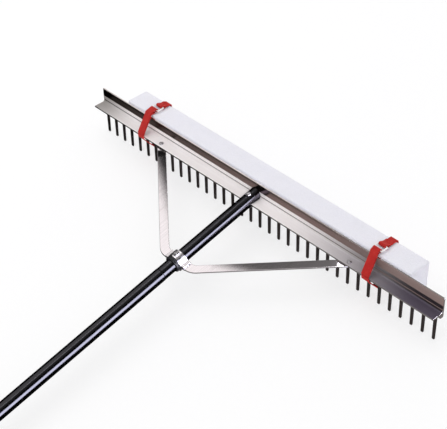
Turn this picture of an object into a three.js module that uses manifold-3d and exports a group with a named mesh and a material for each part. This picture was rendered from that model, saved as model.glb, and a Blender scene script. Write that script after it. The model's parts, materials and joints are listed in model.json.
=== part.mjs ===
// A 36-inch aluminium lake rake: a straight head with thirty-six teeth, a braced tube handle, and a
// removable foam float that two webbing loops hold behind the head. Millimetres, +Z up.
//
// The parts are drawn in the head's own frame: X runs along the head, -Y points at the person who
// holds the handle, and the origin is the inside corner where the upright flange (plane y = 0) meets
// the flat flange (plane z = 0). The handle has a frame of its own, in which it runs along -Y.
// At the end the whole rake is tilted until the tooth tips and the handle's end cap touch the ground.

import * as THREE from "three";
import { mergeVertices } from "three/addons/utils/BufferGeometryUtils.js";
import Module from "manifold-3d";

const wasm = await Module();
wasm.setup();

// ---------------------------------------------------------------- driving dimensions

const GAP = 0.3; // between touching pieces
const CUT_MARGIN = 1; // how far a cutting tool stands past the face it enters
const HOLE_REACH = 40; // half the length of a tool that drills right through
const INCH = 25.4;

const HEAD_LENGTH = 36 * INCH;
const FLANGE_THICKNESS = 3.2;
const UPRIGHT_HEIGHT = 1.25 * INCH;
const FLAT_DEPTH = 1.0 * INCH;
const COVE_RADIUS = 4.6;
const GROOVE_WIDTH = 1.8; // runs along the upright flange, just above the cove
const GROOVE_DEPTH = 0.6;
const RIB_FRONT = 6; // the rib below the corner holds the teeth
const RIB_DEPTH = 12;
const RIB_RADIUS = 2.5;

const TOOTH_COUNT = 36;
const TOOTH_PITCH = INCH;
const TOOTH_WIDTH = 6.4;
const TOOTH_THICKNESS = 4.0;
const TOOTH_Y = -1.4;
const TOOTH_ROOT_Z = -5.0;
const TOOTH_TIP_Z = -2.75 * INCH;
const TOOTH_TIP_SCALE = 0.84;
const TOOTH_BEVEL = 1.0;

const HANDLE_SLOPE = THREE.MathUtils.degToRad(12.5); // below the flat flange's plane
const HANDLE_HEIGHT = 5.6; // of the tube's axis above the head's corner
const HANDLE_LENGTH = 66 * INCH;
const TUBE_WALL = 1.6;
const TUBE_BLANK_END = 15; // the lower tube's length behind the head's corner before it is trimmed
const LOWER_TUBE_RADIUS = 13.0;
const UPPER_TUBE_RADIUS = 13.4;
const TUBE_JOINT = 250; // distance along the handle from the head
const FERRULE_HALF_LENGTH = 60;
const FERRULE_WALL = 1.5;
const CAP_LENGTH = 38;
const CAP_WALL = 1.8;
const CAP_END = 3;
const CAP_EDGE = 1.5;

const HANDLE_BOLT_AT = 17;
const HANDLE_BOLT_RADIUS = 3;
const BOLT_HEAD_RADIUS = 5.6;
const BOLT_HEAD_HEIGHT = 3.4;
const BOLT_TAIL = 4; // of the handle bolt below its nut
const NUT_RADIUS = 5.8;
const NUT_HEIGHT = 5;
const DOME_RIM = 0.35; // height of a dome's straight rim, as a share of the dome
const DOME_SHOULDER = new THREE.Vector2(0.72, 0.85); // a dome's shoulder, as shares of its size

const ARM_WIDTH = 17.6;
const ARM_THICKNESS = 2.6;
const ARM_RAIL_END = new THREE.Vector2(256, -15.6);
const ARM_CORNER_X = 37.7;
const ARM_BEND_RADIUS = 32;
const ARM_INNER_END = 17;
const ARM_STEP = 7;
const ARM_FOLD_RAIL = -27; // y where the arm folds down from the flange
const ARM_FOLD_CLAMP = -188; // y where it folds into line with the clamp
const RIVET_RADIUS = 3;
const RIVET_HEAD_RADIUS = 5;
const RIVET_HEAD_HEIGHT = 2.4;
const RIVET_HEAD_EDGE = 1.6;
const RIVET_TAIL_HEIGHT = 2;
const RIVET_END_SCALE = 0.8;

const CLAMP_AT = 206;
const CLAMP_LENGTH = 18;
const CLAMP_WALL = 2.4;
const CLAMP_EAR_REACH = 25.5;
const CLAMP_SCREW_X = 21.4;
const CLAMP_SCREW_RADIUS = 2;
const CLAMP_SCREW_HEAD_RADIUS = 3.6;
const CLAMP_SCREW_HEAD_HEIGHT = 2.4;
const CLAMP_SCREW_BITE = 1.5; // of the screws' tips in the saddle's ears
const CLAMP_BOLT_RADIUS = 2.5;
const CLAMP_BOLT_END = 6; // height of the crown bolt's tip above the handle's axis
const SLEEVE_WALL = 1.0;
const SLEEVE_COLLAR_RADIUS = 16.6;
const SLEEVE_COLLAR_LENGTH = 7;

const FLOAT_LENGTH = 30 * INCH;
const FLOAT_THICKNESS = 2 * INCH;
const FLOAT_HEIGHT = 3 * INCH;
const FLOAT_TOP = 37;
const FLOAT_EDGE_RADIUS = 3;

const STRAP_X = 12 * INCH;
const STRAP_WIDTH = 17;
const STRAP_THICKNESS = 1.8;
const RING_BAR_RADIUS = 1.5;
const RING_THICKNESS = 1.5;
const RING_FRONT_LEFT = 17; // y of the front bar, which sits where each strap was pulled tight
const RING_FRONT_RIGHT = 9;
const RING_REACH = 15.5; // from the front bar to the rear bar
const RING_WIDTH = 24;
const RING_HEIGHT = 4.1; // of the bars' axis above the float
const LOOP_START = 4.4; // from the ring's front bar to the loop's first end
const STRAP_SLACK = 0.4; // in front of the flat flange
const STRAP_BEND = 1.8;
const STRAP_LEAN = 0.14; // both straps lean towards the left as they rise
const STRAP_LEAN_FROM = -11.8; // height where the lean starts
const SEWN_RAMP = 10; // from the ring's rear bar to where the sewn end lies flat
const SEWN_END = 18;
const FOLD_START = -130; // degrees round the front bar where the free end's fold begins
const TAIL_BEND = 3;
const TAIL_CLEARANCE = 0.1;
const TAIL_SHORTENING = 0.06; // share of the last stretch that the free end leaves bare

// ---------------------------------------------------------------- materials

function material(color, roughness, metalness) {
  return new THREE.MeshStandardMaterial({ color, roughness, metalness });
}

const railMetal = () => material(0xb9b0a8, 0.3, 0.9);
const toothMetal = () => material(0x3a3432, 0.4, 0.8);
const armMetal = () => material(0xd8d3d6, 0.35, 0.9);
const screwSteel = () => material(0xc9c9cc, 0.3, 0.9);
const handlePaint = () => material(0x0a0a0e, 0.18, 0.3);
const blackRubber = () => material(0x111112, 0.6, 0);
const foam = () => material(0xe9e9ef, 0.8, 0);
const webbing = () => material(0xc4221f, 0.8, 0);
const whitePlastic = () => material(0xf2f2ef, 0.4, 0);

// ---------------------------------------------------------------- booleans

function toSolid(geometry) {
  const bare = geometry.clone();
  bare.deleteAttribute("normal");
  bare.deleteAttribute("uv");
  const merged = mergeVertices(bare, 1e-4);
  return new wasm.Manifold(
    new wasm.Mesh({
      numProp: 3,
      vertProperties: new Float32Array(merged.attributes.position.array),
      triVerts: new Uint32Array(merged.index.array),
    }),
  );
}

function toGeometry(solid) {
  const mesh = solid.getMesh();
  const geometry = new THREE.BufferGeometry();
  geometry.setAttribute("position", new THREE.BufferAttribute(mesh.vertProperties, 3));
  geometry.setIndex(new THREE.BufferAttribute(mesh.triVerts, 1));
  geometry.computeVertexNormals();
  return geometry;
}

function cut(geometry, ...tools) {
  return toGeometry(tools.reduce((solid, tool) => solid.subtract(toSolid(tool)), toSolid(geometry)));
}

// ---------------------------------------------------------------- shape helpers

// A cylinder along Z between two heights.
function zCylinder(radius, z0, z1, sides = 16) {
  const geometry = new THREE.CylinderGeometry(radius, radius, z1 - z0, sides);
  return geometry.rotateX(Math.PI / 2).translate(0, 0, (z0 + z1) / 2);
}

function box(x0, x1, y0, y1, z0, z1) {
  const geometry = new THREE.BoxGeometry(x1 - x0, y1 - y0, z1 - z0);
  return geometry.translate((x0 + x1) / 2, (y0 + y1) / 2, (z0 + z1) / 2);
}

// Turns a closed outline of [radius, distance] points about the handle's axis.
function turnedOnHandle(outline, sides = 24) {
  const profile = outline.map(([radius, distance]) => new THREE.Vector2(radius, -distance));
  return new THREE.LatheGeometry([...profile, profile[0].clone()], sides);
}

function tube(outer, inner, from, to) {
  return turnedOnHandle([
    [inner, to],
    [outer, to],
    [outer, from],
    [inner, from],
  ]);
}

// Extrudes an outline drawn in (y, z) along X, centred on x = 0.
function alongX(outline, length, curveSegments = 5) {
  const geometry = new THREE.ExtrudeGeometry(outline, {
    depth: length,
    bevelEnabled: false,
    curveSegments,
  });
  const basis = new THREE.Matrix4().makeBasis(
    new THREE.Vector3(0, 1, 0),
    new THREE.Vector3(0, 0, 1),
    new THREE.Vector3(1, 0, 0),
  );
  return geometry.translate(0, 0, -length / 2).applyMatrix4(basis);
}

// Points of a polyline whose inner corners are rounded to a radius.
function rounded(corners, radius, steps = 4) {
  const path = [corners[0].clone()];
  for (let i = 1; i < corners.length - 1; i += 1) {
    const back = corners[i - 1].clone().sub(corners[i]).normalize();
    const ahead = corners[i + 1].clone().sub(corners[i]).normalize();
    const halfAngle = Math.acos(THREE.MathUtils.clamp(back.dot(ahead), -1, 1)) / 2;
    const bisector = back.clone().add(ahead).normalize();
    const centre = corners[i].clone().addScaledVector(bisector, radius / Math.sin(halfAngle));
    const tangent = radius / Math.tan(halfAngle);
    const first = corners[i].clone().addScaledVector(back, tangent).sub(centre).angle();
    const last = corners[i].clone().addScaledVector(ahead, tangent).sub(centre).angle();
    const sweep = THREE.MathUtils.euclideanModulo(last - first + Math.PI, 2 * Math.PI) - Math.PI;
    for (let s = 0; s <= steps; s += 1) {
      const angle = first + (sweep * s) / steps;
      const spoke = new THREE.Vector2(Math.cos(angle), Math.sin(angle));
      path.push(centre.clone().addScaledVector(spoke, radius));
    }
  }
  path.push(corners.at(-1).clone());
  return path;
}

// Adds points so that no step of a path is longer than the given length.
function subdivided(path, longest) {
  const result = [path[0]];
  for (let i = 1; i < path.length; i += 1) {
    const pieces = Math.ceil(path[i].distanceTo(path[i - 1]) / longest);
    for (let k = 1; k <= pieces; k += 1) {
      result.push(path[i - 1].clone().lerp(path[i], k / pieces));
    }
  }
  return result;
}

// The outline of a band of even width that follows a path.
function band(path, width) {
  const left = [];
  const right = [];
  path.forEach((point, i) => {
    const before = path[Math.max(i - 1, 0)];
    const after = path[Math.min(i + 1, path.length - 1)];
    const direction = after.clone().sub(before).normalize();
    const side = new THREE.Vector2(-direction.y, direction.x).multiplyScalar(width / 2);
    left.push(point.clone().add(side));
    right.push(point.clone().sub(side));
  });
  return new THREE.Shape([...right, ...left.reverse()]);
}

// Points on an arc about a centre, both angles in degrees.
function arc(centre, radius, fromDegrees, toDegrees, steps) {
  const points = [];
  for (let s = 0; s <= steps; s += 1) {
    const degrees = fromDegrees + ((toDegrees - fromDegrees) * s) / steps;
    const angle = THREE.MathUtils.degToRad(degrees);
    points.push(
      new THREE.Vector2(centre.x + radius * Math.cos(angle), centre.y + radius * Math.sin(angle)),
    );
  }
  return points;
}

// ---------------------------------------------------------------- frames

const handleToHead = new THREE.Matrix4()
  .makeTranslation(0, 0, HANDLE_HEIGHT)
  .multiply(new THREE.Matrix4().makeRotationX(HANDLE_SLOPE));
const headToHandle = handleToHead.clone().invert();
const CLAMP_Y = -CLAMP_AT * Math.cos(HANDLE_SLOPE);

// ---------------------------------------------------------------- head

// The extrusion's section in (y, z), grown outwards by a clearance.
function railSection(clearance = 0) {
  const front = -FLAT_DEPTH - clearance;
  const back = FLANGE_THICKNESS + clearance;
  const under = -FLANGE_THICKNESS - clearance;
  const foot = -RIB_DEPTH - clearance;
  const ribFront = -RIB_FRONT - clearance;
  const section = new THREE.Shape();
  section.moveTo(front, clearance);
  section.lineTo(front, under);
  section.lineTo(ribFront, under);
  section.lineTo(ribFront, foot + RIB_RADIUS);
  section.absarc(ribFront + RIB_RADIUS, foot + RIB_RADIUS, RIB_RADIUS, Math.PI, 1.5 * Math.PI);
  section.absarc(back - RIB_RADIUS, foot + RIB_RADIUS, RIB_RADIUS, 1.5 * Math.PI, 2 * Math.PI);
  section.lineTo(back, UPRIGHT_HEIGHT + clearance);
  section.lineTo(-clearance, UPRIGHT_HEIGHT + clearance);
  if (clearance === 0) {
    section.lineTo(0, COVE_RADIUS + GROOVE_WIDTH);
    section.lineTo(GROOVE_DEPTH, COVE_RADIUS + GROOVE_WIDTH / 2);
  }
  section.absarc(-COVE_RADIUS, COVE_RADIUS, COVE_RADIUS - clearance, 0, -Math.PI / 2, true);
  return section;
}

const toothX = (index) => (index - (TOOTH_COUNT - 1) / 2) * TOOTH_PITCH;

function toothPocket(x) {
  const halfWidth = TOOTH_WIDTH / 2 + GAP;
  const halfThickness = TOOTH_THICKNESS / 2 + GAP;
  return box(
    x - halfWidth,
    x + halfWidth,
    TOOTH_Y - halfThickness,
    TOOTH_Y + halfThickness,
    -RIB_DEPTH - CUT_MARGIN,
    TOOTH_ROOT_Z + GAP,
  );
}

function handleBoltHole(radius) {
  return zCylinder(radius, -HOLE_REACH, HOLE_REACH).translate(0, -HANDLE_BOLT_AT, 0);
}

function rivetHole(side) {
  const hole = zCylinder(RIVET_RADIUS + GAP, -HOLE_REACH, HOLE_REACH);
  return hole.translate(side * ARM_RAIL_END.x, ARM_RAIL_END.y, 0);
}

function headRail() {
  const pockets = Array.from({ length: TOOTH_COUNT }, (_, i) => toothPocket(toothX(i)));
  return cut(
    alongX(railSection(), HEAD_LENGTH),
    ...pockets,
    rivetHole(-1),
    rivetHole(1),
    handleBoltHole(HANDLE_BOLT_RADIUS + 2 * GAP).applyMatrix4(handleToHead),
  );
}

// A tapered bar with a bevelled tip.
function tooth() {
  const length = TOOTH_ROOT_Z - TOOTH_TIP_Z;
  const geometry = new THREE.BoxGeometry(TOOTH_WIDTH, TOOTH_THICKNESS, length, 1, 1, 3);
  const position = geometry.attributes.position;
  const shoulder = RIB_DEPTH + TOOTH_ROOT_Z;
  for (let i = 0; i < position.count; i += 1) {
    const level = Math.round((0.5 - position.getZ(i) / length) * 3);
    const depth = [0, shoulder, length - TOOTH_BEVEL, length][level];
    const scale = [1, 1, TOOTH_TIP_SCALE, TOOTH_TIP_SCALE][level];
    const bevel = level === 3 ? TOOTH_BEVEL / 2 : 0;
    const x = position.getX(i);
    const y = position.getY(i);
    const width = Math.sign(x) * (Math.abs(x) * scale - bevel);
    const thickness = Math.sign(y) * (Math.abs(y) * scale - bevel);
    position.setXYZ(i, width, thickness, TOOTH_ROOT_Z - depth);
  }
  return geometry;
}

// ---------------------------------------------------------------- handle (handle frame)

// The lower tube is slit at its end to slide over the flat flange, and its underside stops at the rib.
function handleLower() {
  const end = TUBE_BLANK_END;
  const far = 4 * end;
  const whole = tube(LOWER_TUBE_RADIUS, LOWER_TUBE_RADIUS - TUBE_WALL, -end, TUBE_JOINT);
  const railTool = alongX(railSection(GAP), far);
  const behindUpright = box(-end, end, -GAP, far, -far, far);
  const ribRoom = box(-end, end, -RIB_FRONT - GAP, CUT_MARGIN, -far, 0);
  return cut(
    whole,
    ...[railTool, behindUpright, ribRoom].map((tool) => tool.applyMatrix4(headToHandle)),
    handleBoltHole(HANDLE_BOLT_RADIUS + GAP),
    clampBoltHole(),
  );
}

function handleUpper() {
  const inner = LOWER_TUBE_RADIUS - TUBE_WALL;
  const end = HANDLE_LENGTH - CAP_END - GAP;
  return tube(UPPER_TUBE_RADIUS, inner, TUBE_JOINT + GAP, end);
}

function handleFerrule() {
  const outer = LOWER_TUBE_RADIUS - TUBE_WALL - GAP;
  const from = TUBE_JOINT - FERRULE_HALF_LENGTH;
  const to = TUBE_JOINT + FERRULE_HALF_LENGTH;
  return cut(tube(outer, outer - FERRULE_WALL, from, to), clampBoltHole());
}

function handleCap() {
  const inner = UPPER_TUBE_RADIUS + GAP;
  const outer = inner + CAP_WALL;
  return turnedOnHandle([
    [0, HANDLE_LENGTH],
    [outer - CAP_EDGE, HANDLE_LENGTH],
    [outer, HANDLE_LENGTH - CAP_EDGE],
    [outer, HANDLE_LENGTH - CAP_LENGTH],
    [inner, HANDLE_LENGTH - CAP_LENGTH],
    [inner, HANDLE_LENGTH - CAP_END],
    [0, HANDLE_LENGTH - CAP_END],
  ]);
}

// A domed screw standing on z, with its shank pointing down.
function domedScrew(headRadius, headHeight, shankRadius, shankLength) {
  const profile = [
    [0, -shankLength],
    [shankRadius, -shankLength],
    [shankRadius, 0],
    [headRadius, 0],
    [headRadius, headHeight * DOME_RIM],
    [headRadius * DOME_SHOULDER.x, headHeight * DOME_SHOULDER.y],
    [0, headHeight],
  ].map(([radius, height]) => new THREE.Vector2(radius, height));
  return new THREE.LatheGeometry(profile, 16).rotateX(Math.PI / 2);
}

function handleBolt() {
  const seat = LOWER_TUBE_RADIUS + GAP;
  const shankLength = 2 * seat + NUT_HEIGHT + BOLT_TAIL;
  const bolt = domedScrew(BOLT_HEAD_RADIUS, BOLT_HEAD_HEIGHT, HANDLE_BOLT_RADIUS, shankLength);
  return bolt.translate(0, -HANDLE_BOLT_AT, seat);
}

function handleNut() {
  const top = -LOWER_TUBE_RADIUS - GAP;
  const hex = new THREE.CylinderGeometry(NUT_RADIUS, NUT_RADIUS, NUT_HEIGHT, 6);
  hex.rotateX(Math.PI / 2).translate(0, -HANDLE_BOLT_AT, top - NUT_HEIGHT / 2);
  return cut(hex, handleBoltHole(HANDLE_BOLT_RADIUS + GAP));
}

// ---------------------------------------------------------------- clamp (handle frame)

const clampInner = LOWER_TUBE_RADIUS + SLEEVE_WALL + 2 * GAP;
const clampOuter = clampInner + CLAMP_WALL;
const clampDrop = ARM_THICKNESS + 3 * GAP; // between the ears of the saddle and of the base

// Half a ring with a flat ear on each side. It is drawn above z = 0 and seen along the handle.
function clampHalf() {
  const half = new THREE.Shape();
  half.moveTo(clampInner, 0);
  half.lineTo(CLAMP_EAR_REACH, 0);
  half.lineTo(CLAMP_EAR_REACH, CLAMP_WALL);
  half.lineTo(Math.sqrt(clampOuter ** 2 - CLAMP_WALL ** 2), CLAMP_WALL);
  const start = Math.asin(CLAMP_WALL / clampOuter);
  half.absarc(0, 0, clampOuter, start, Math.PI - start);
  half.lineTo(-CLAMP_EAR_REACH, CLAMP_WALL);
  half.lineTo(-CLAMP_EAR_REACH, 0);
  half.lineTo(-clampInner, 0);
  half.absarc(0, 0, clampInner, Math.PI, 0, true);
  const geometry = new THREE.ExtrudeGeometry(half, {
    depth: CLAMP_LENGTH,
    bevelEnabled: false,
    curveSegments: 10,
  });
  return geometry.rotateX(Math.PI / 2).translate(0, -CLAMP_AT + CLAMP_LENGTH / 2, 0);
}

// The ear screws come up from below, through the base and a brace, and end inside the saddle's ear.
function clampScrewHole(side) {
  const hole = zCylinder(CLAMP_SCREW_RADIUS + GAP, -HOLE_REACH, CLAMP_SCREW_BITE + GAP);
  return hole.translate(side * CLAMP_SCREW_X, -CLAMP_AT, 0);
}

// The crown bolt goes down through the saddle, the sleeve, the tube's wall and the ferrule.
function clampBoltHole() {
  return zCylinder(CLAMP_BOLT_RADIUS + GAP, 0, HOLE_REACH).translate(0, -CLAMP_AT, 0);
}

function clampSaddle() {
  return cut(clampHalf(), clampScrewHole(-1), clampScrewHole(1), clampBoltHole());
}

function clampBase() {
  const turned = clampHalf().rotateZ(Math.PI).rotateX(Math.PI).translate(0, 0, -clampDrop);
  return cut(turned, clampScrewHole(-1), clampScrewHole(1));
}

function clampScrew(side) {
  const seat = clampDrop + CLAMP_WALL + GAP;
  const screw = domedScrew(
    CLAMP_SCREW_HEAD_RADIUS,
    CLAMP_SCREW_HEAD_HEIGHT,
    CLAMP_SCREW_RADIUS,
    seat + CLAMP_SCREW_BITE,
  );
  return screw.rotateX(Math.PI).translate(side * CLAMP_SCREW_X, -CLAMP_AT, -seat);
}

function clampBolt() {
  const seat = clampOuter + GAP;
  const shankLength = seat - CLAMP_BOLT_END;
  const bolt = domedScrew(BOLT_HEAD_RADIUS, BOLT_HEAD_HEIGHT, CLAMP_BOLT_RADIUS, shankLength);
  return bolt.translate(0, -CLAMP_AT, seat);
}

// A rubber bush between the tube and the clamp, with a collar on the user's side.
function clampSleeve() {
  const inner = LOWER_TUBE_RADIUS + GAP;
  const bush = inner + SLEEVE_WALL;
  const from = CLAMP_AT - CLAMP_LENGTH / 2;
  const collar = CLAMP_AT + CLAMP_LENGTH / 2 + GAP;
  const sleeve = turnedOnHandle([
    [inner, collar + SLEEVE_COLLAR_LENGTH],
    [SLEEVE_COLLAR_RADIUS, collar + SLEEVE_COLLAR_LENGTH],
    [SLEEVE_COLLAR_RADIUS, collar],
    [bush, collar],
    [bush, from],
    [inner, from],
  ]);
  return cut(sleeve, clampBoltHole());
}

// ---------------------------------------------------------------- braces

// Height of a brace's upper face: flat under the flange, then sloping, then in line with the clamp.
function armTop(y) {
  const underFlange = -FLANGE_THICKNESS - GAP;
  const atClamp = (at) => HANDLE_HEIGHT + at * Math.tan(HANDLE_SLOPE) - GAP;
  if (y >= ARM_FOLD_RAIL) return underFlange;
  if (y <= ARM_FOLD_CLAMP) return atClamp(y);
  const share = (y - ARM_FOLD_RAIL) / (ARM_FOLD_CLAMP - ARM_FOLD_RAIL);
  return THREE.MathUtils.lerp(underFlange, atClamp(ARM_FOLD_CLAMP), share);
}

// A flat bar through cross-sections of {point, direction, halfWidth}, whose upper face lies at
// topAt(y).
function flatBar(sections, thickness, topAt) {
  const positions = [];
  for (const { point, direction, halfWidth } of sections) {
    const side = new THREE.Vector2(-direction.y, direction.x).multiplyScalar(halfWidth);
    const left = point.clone().add(side);
    const right = point.clone().sub(side);
    for (const [edge, drop] of [
      [left, 0],
      [right, 0],
      [right, thickness],
      [left, thickness],
    ]) {
      positions.push(edge.x, edge.y, topAt(edge.y) - drop);
    }
  }
  const last = 4 * (sections.length - 1);
  const indices = [0, 2, 1, 0, 3, 2, last, last + 1, last + 2, last, last + 2, last + 3];
  for (let start = 0; start < last; start += 4) {
    for (let k = 0; k < 4; k += 1) {
      const here = start + k;
      const next = start + ((k + 1) % 4);
      indices.push(here, next, here + 4, next, next + 4, here + 4);
    }
  }
  const geometry = new THREE.BufferGeometry();
  geometry.setAttribute("position", new THREE.Float32BufferAttribute(positions, 3));
  geometry.setIndex(indices);
  return geometry;
}

// One flat bar from its rivet under the flange, round its bend, to the clamp's ear.
function brace(side) {
  const [railEnd, corner, innerEnd] = [
    ARM_RAIL_END,
    new THREE.Vector2(ARM_CORNER_X, CLAMP_Y),
    new THREE.Vector2(ARM_INNER_END, CLAMP_Y),
  ].map((point) => new THREE.Vector2(side * point.x, point.y));
  const bend = rounded([railEnd, corner, innerEnd], ARM_BEND_RADIUS, 5);
  const path = subdivided(bend, ARM_STEP);
  const halfWidth = ARM_WIDTH / 2;
  const along = corner.clone().sub(railEnd).normalize();
  const roundEnd = [];
  for (let degrees = 80; degrees > 0; degrees -= 20) {
    const angle = THREE.MathUtils.degToRad(degrees);
    const point = railEnd.clone().addScaledVector(along, -halfWidth * Math.sin(angle));
    roundEnd.push({ point, direction: along, halfWidth: halfWidth * Math.cos(angle) });
  }
  const straight = path.map((point, i) => {
    const before = path[Math.max(i - 1, 0)];
    const after = path[Math.min(i + 1, path.length - 1)];
    return { point, direction: after.clone().sub(before).normalize(), halfWidth };
  });
  const bar = flatBar([...roundEnd, ...straight], ARM_THICKNESS, armTop);
  return cut(bar, rivetHole(side), clampScrewHole(side).applyMatrix4(handleToHead));
}

function braceRivet(side) {
  const under = -FLANGE_THICKNESS - 3 * GAP - ARM_THICKNESS;
  const profile = [
    [0, under - RIVET_TAIL_HEIGHT],
    [RIVET_HEAD_RADIUS * RIVET_END_SCALE, under - RIVET_TAIL_HEIGHT],
    [RIVET_HEAD_RADIUS, under],
    [RIVET_RADIUS, under],
    [RIVET_RADIUS, GAP],
    [RIVET_HEAD_RADIUS, GAP],
    [RIVET_HEAD_RADIUS * RIVET_END_SCALE, GAP + RIVET_HEAD_EDGE],
    [0, GAP + RIVET_HEAD_HEIGHT],
  ].map(([radius, height]) => new THREE.Vector2(radius, height));
  const rivet = new THREE.LatheGeometry(profile, 16).rotateX(Math.PI / 2);
  return rivet.translate(side * ARM_RAIL_END.x, ARM_RAIL_END.y, 0);
}

// ---------------------------------------------------------------- float and straps

const floatFront = FLANGE_THICKNESS + 2 * GAP;
const floatBack = floatFront + FLOAT_THICKNESS;
const floatBottom = FLOAT_TOP - FLOAT_HEIGHT;
const strapStandOff = GAP + STRAP_THICKNESS / 2; // from a surface to the webbing's middle
const ringZ = FLOAT_TOP + RING_HEIGHT;
const wrapRadius = RING_BAR_RADIUS + strapStandOff;

function floatBlock() {
  const r = FLOAT_EDGE_RADIUS;
  const section = new THREE.Shape();
  section.absarc(floatFront + r, floatBottom + r, r, Math.PI, 1.5 * Math.PI);
  section.absarc(floatBack - r, floatBottom + r, r, 1.5 * Math.PI, 2 * Math.PI);
  section.absarc(floatBack - r, FLOAT_TOP - r, r, 0, 0.5 * Math.PI);
  section.absarc(floatFront + r, FLOAT_TOP - r, r, 0.5 * Math.PI, Math.PI);
  return alongX(section, FLOAT_LENGTH, 4);
}

// The middle of the webbing where it comes forward over the float's edge and the upright flange,
// then straight down to the flat flange's front edge.
const strapTop = FLOAT_TOP + strapStandOff;
const strapFront = -FLAT_DEPTH - strapStandOff - STRAP_SLACK;
const frontRun = [
  [floatFront, strapTop],
  [0.5 * FLANGE_THICKNESS, strapTop],
  [-0.5 * FLANGE_THICKNESS, UPRIGHT_HEIGHT + strapStandOff],
  [strapFront, strapStandOff],
].map(([y, z]) => new THREE.Vector2(y, z));

// Extrudes a path as webbing that leans sideways as it rises.
function webbingAlong(path) {
  const geometry = alongX(band(path, STRAP_THICKNESS), STRAP_WIDTH);
  const position = geometry.attributes.position;
  for (let i = 0; i < position.count; i += 1) {
    position.setX(i, position.getX(i) - leanAt(position.getZ(i)));
  }
  return geometry;
}

function leanAt(height) {
  return STRAP_LEAN * Math.max(height - STRAP_LEAN_FROM, 0);
}

// The loop: from just before the ring's front bar, down the front run, round the flat flange's edge,
// between two teeth, under and behind the float, over its top and round the ring's rear bar.
function strapLoop(ringFront) {
  const bottom = floatBottom - strapStandOff;
  const behind = floatBack + strapStandOff;
  const ringRear = ringFront + RING_REACH;
  const undersideTurn = [
    [strapFront, -FLANGE_THICKNESS - strapStandOff],
    [floatFront - strapStandOff / 2, bottom],
    [behind, bottom],
    [behind, strapTop],
    [ringRear, strapTop],
  ].map(([y, z]) => new THREE.Vector2(y, z));
  const start = new THREE.Vector2(ringFront - LOOP_START, strapTop);
  const loop = rounded([start, ...frontRun.slice(1), ...undersideTurn], STRAP_BEND, 3);
  const wrap = arc(new THREE.Vector2(ringRear, ringZ), wrapRadius, -90, -270, 8);
  const sewnHeight = strapTop + STRAP_THICKNESS + GAP;
  const sewnEnd = [
    [ringRear + SEWN_RAMP / 2, (ringZ + wrapRadius + sewnHeight) / 2],
    [ringRear + SEWN_RAMP, sewnHeight],
    [ringRear + SEWN_END, sewnHeight],
  ].map(([y, z]) => new THREE.Vector2(y, z));
  return webbingAlong([...loop.slice(0, -1), ...wrap, ...sewnEnd]);
}

// Moves a polyline sideways, to the right of its direction, by a distance.
function shifted(corners, distance) {
  return corners.map((corner, i) => {
    const before = corner.clone().sub(corners[Math.max(i - 1, 0)]).normalize();
    const after = corners[Math.min(i + 1, corners.length - 1)].clone().sub(corner).normalize();
    const mean = before.add(after).normalize();
    const normal = new THREE.Vector2(mean.y, -mean.x);
    const mitre = Math.abs(after.lengthSq() > 0 ? after.dot(mean) : 1);
    return corner.clone().addScaledVector(normal, distance / mitre);
  });
}

// The angle at which a straight run to a target leaves a circle, in degrees.
function leavingAngle(centre, radius, target) {
  const away = target.clone().sub(centre);
  return THREE.MathUtils.radToDeg(away.angle() - Math.acos(radius / away.length()));
}

// The free end: it turns round the ring's front bar and closes down over the loop's front run.
function strapTail(ringFront) {
  const frontBar = new THREE.Vector2(ringFront, ringZ);
  const over = shifted(frontRun, STRAP_THICKNESS + GAP + TAIL_CLEARANCE);
  const stop = leavingAngle(frontBar, wrapRadius, over[1]);
  const fold = arc(frontBar, wrapRadius, FOLD_START, stop, 10);
  const tip = over.at(-1).lerp(over.at(-2), TAIL_SHORTENING);
  const tail = rounded([fold.at(-1), ...over.slice(1, -1), tip], TAIL_BEND, 2);
  return webbingAlong([...fold.slice(0, -1), ...tail]);
}

// A flat rectangular ring: two round bars along X joined by two side rails.
function strapRing(ringFront) {
  const railWidth = (RING_WIDTH - STRAP_WIDTH) / 2 - 2 * GAP;
  const ringRear = ringFront + RING_REACH;
  const outer = new THREE.Shape();
  const r = RING_BAR_RADIUS;
  const halfWidth = RING_WIDTH / 2;
  outer.moveTo(-halfWidth, ringFront - r);
  outer.lineTo(halfWidth, ringFront - r);
  outer.lineTo(halfWidth, ringRear + r);
  outer.lineTo(-halfWidth, ringRear + r);
  const window = new THREE.Path();
  const inside = halfWidth - railWidth;
  window.moveTo(-inside, ringFront + r);
  window.lineTo(-inside, ringRear - r);
  window.lineTo(inside, ringRear - r);
  window.lineTo(inside, ringFront + r);
  outer.holes.push(window);
  const ring = new THREE.ExtrudeGeometry(outer, { depth: RING_THICKNESS, bevelEnabled: false });
  return ring.translate(-leanAt(ringZ), 0, ringZ - RING_THICKNESS / 2);
}

// ---------------------------------------------------------------- assembly

function piece(name, geometry, finish) {
  const mesh = new THREE.Mesh(geometry, finish);
  mesh.name = name;
  return mesh;
}

const head = new THREE.Group();
const handle = new THREE.Group();
handle.position.z = HANDLE_HEIGHT;
handle.rotation.x = HANDLE_SLOPE;
head.add(handle);

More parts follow.
